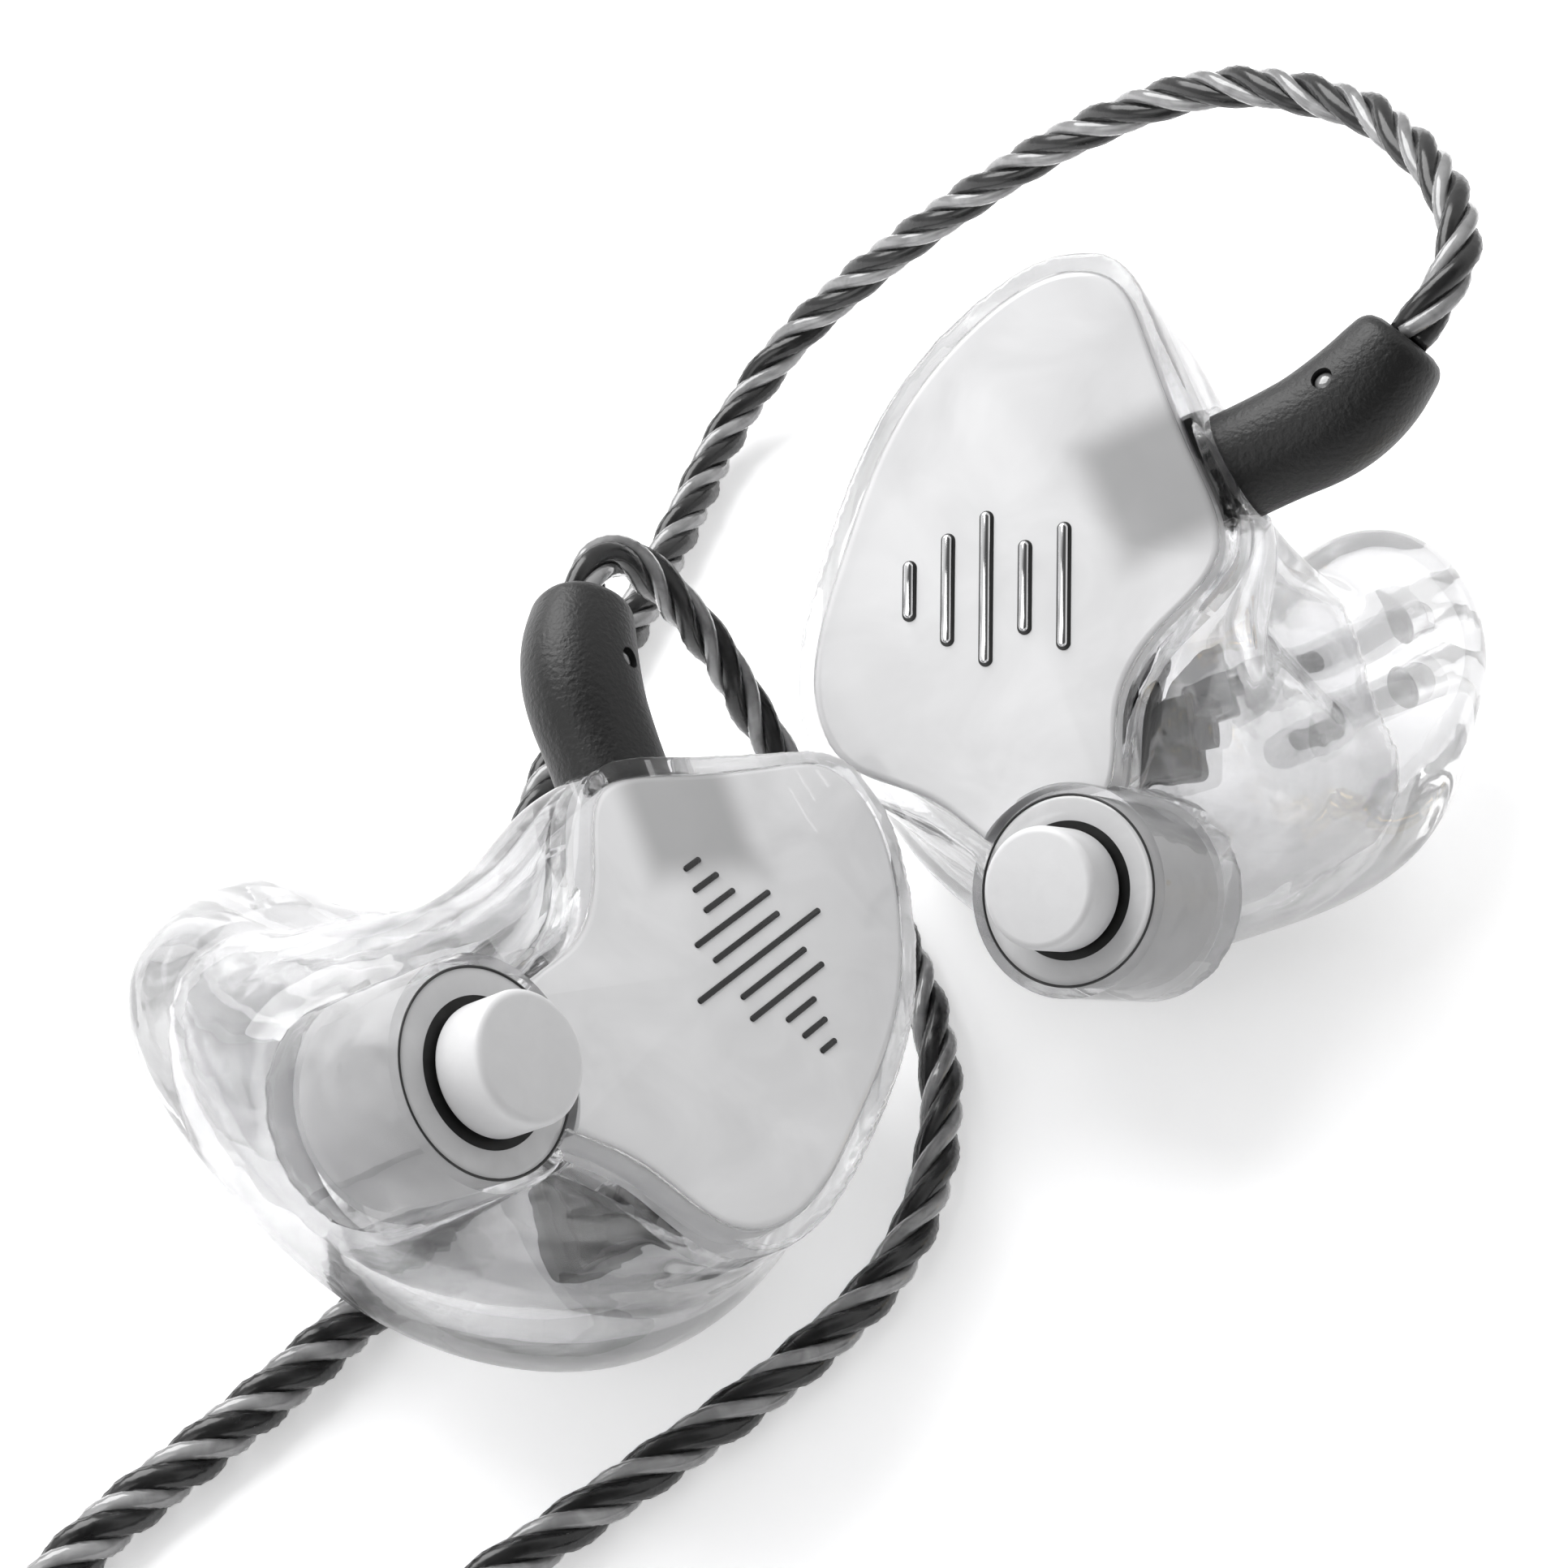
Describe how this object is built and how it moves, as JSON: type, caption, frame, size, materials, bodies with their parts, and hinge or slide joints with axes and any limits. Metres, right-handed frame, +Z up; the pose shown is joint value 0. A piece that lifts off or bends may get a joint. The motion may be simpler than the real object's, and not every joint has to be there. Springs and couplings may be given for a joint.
{
  "type": "pair of in-ear monitors",
  "caption": "Custom-moulded clear in-ear monitors with pearl faceplates, pull-out round modules, two-pin plugs, twisted cable, splitter, chin slider and stereo plug.",
  "frame": {"origin": "on the table, under the middle of the box around the two monitors with their connectors", "axes": "+X from the left monitor towards the right one, +Y away from the viewer, +Z up"},
  "size_m": [0.0826, 0.1146, 0.0307],
  "materials": {
    "clear_acrylic": "polished clear acrylic",
    "pearl": "milky pearl, glossy",
    "emblem_chrome": "polished foil",
    "emblem_dark": "dark foil",
    "socket_block": "moulded",
    "gold": "gold plated",
    "smoke_acrylic": "translucent grey",
    "white_cap": "satin white",
    "module_black": "satin",
    "black_rubber": "matt",
    "driver_black": "satin black",
    "driver_steel": "satin",
    "board_green": "solder mask",
    "clear_tube": "clear PVC",
    "damper_red": "woven mesh",
    "wire_copper": "enamel",
    "boot_black": "fine grained",
    "marker_clear": "clear drop of resin",
    "cable_smoke": "translucent smoky and clear strands, twisted",
    "clear_slider": "clear tube",
    "barrel_aluminium": "dark anodised"
  },
  "bodies": {
    "monitors_and_cable": {"right_shell": "clear_acrylic", "right_faceplate": "pearl", "right_emblem": "emblem_chrome", "right_two_pin_socket": "socket_block", "right_socket_contacts": "gold", "right_module_seat": "smoke_acrylic", "right_woofer_driver": "driver_black", "right_mid_driver": "driver_black", "right_treble_driver": "driver_steel", "right_crossover_board": "board_green", "right_sound_tubes": "clear_tube", "right_dampers": "damper_red", "right_hookup_wires": "wire_copper", "right_cable_tube": "cable_smoke", "right_cable_coil": "cable_smoke", "right_tail_tube": "cable_smoke", "left_shell": "clear_acrylic", "left_faceplate": "pearl", "left_emblem": "emblem_dark", "left_two_pin_socket": "socket_block", "left_socket_contacts": "gold", "left_module_seat": "smoke_acrylic", "left_woofer_driver": "driver_black", "left_mid_driver": "driver_black", "left_treble_driver": "driver_steel", "left_crossover_board": "board_green", "left_sound_tubes": "clear_tube", "left_dampers": "damper_red", "left_hookup_wires": "wire_copper", "left_cable_tube": "cable_smoke", "left_cable_coil": "cable_smoke", "left_tail_tube": "cable_smoke", "y_splitter": "boot_black", "trunk_lead_tube": "cable_smoke", "trunk_coil": "cable_smoke", "trunk_tail_tube": "cable_smoke", "plug_relief": "black_rubber", "plug_barrel": "barrel_aluminium", "plug_sleeve": "gold", "plug_ring": "gold", "plug_tip": "gold", "plug_insulators": "module_black"},
    "right_connector": {"right_connector_boot": "boot_black", "right_pin_insert": "module_black", "right_connector_pins": "gold", "right_side_marker": "marker_clear", "right_lead_tube": "cable_smoke"},
    "right_module": {"right_module_cap": "white_cap", "right_module_body": "module_black", "right_module_o_ring": "black_rubber"},
    "left_connector": {"left_connector_boot": "boot_black", "left_pin_insert": "module_black", "left_connector_pins": "gold", "left_side_marker": "marker_clear", "left_lead_tube": "cable_smoke"},
    "left_module": {"left_module_cap": "white_cap", "left_module_body": "module_black", "left_module_o_ring": "black_rubber"},
    "chin_slider": {"chin_slider": "clear_slider"}
  },
  "joints": [
    {"name": "right_connector_pull", "type": "slide", "parent": "monitors_and_cable", "child": "right_connector", "axis": [0.8666, 0.0772, 0.493], "range_m": [0, 0.006]},
    {"name": "right_module_pull", "type": "slide", "parent": "monitors_and_cable", "child": "right_module", "axis": [-0.5378, -0.5457, 0.6426], "range_m": [0, 0.005]},
    {"name": "left_connector_pull", "type": "slide", "parent": "monitors_and_cable", "child": "left_connector", "axis": [-0.3373, 0.8474, 0.41], "range_m": [0, 0.006]},
    {"name": "left_module_pull", "type": "slide", "parent": "monitors_and_cable", "child": "left_module", "axis": [0.6887, -0.2761, 0.6704], "range_m": [0, 0.005]},
    {"name": "chin_slider_slide", "type": "slide", "parent": "monitors_and_cable", "child": "chin_slider", "axis": [0.9593, 0, -0.2825], "range_m": [0, 0.005]}
  ]
}
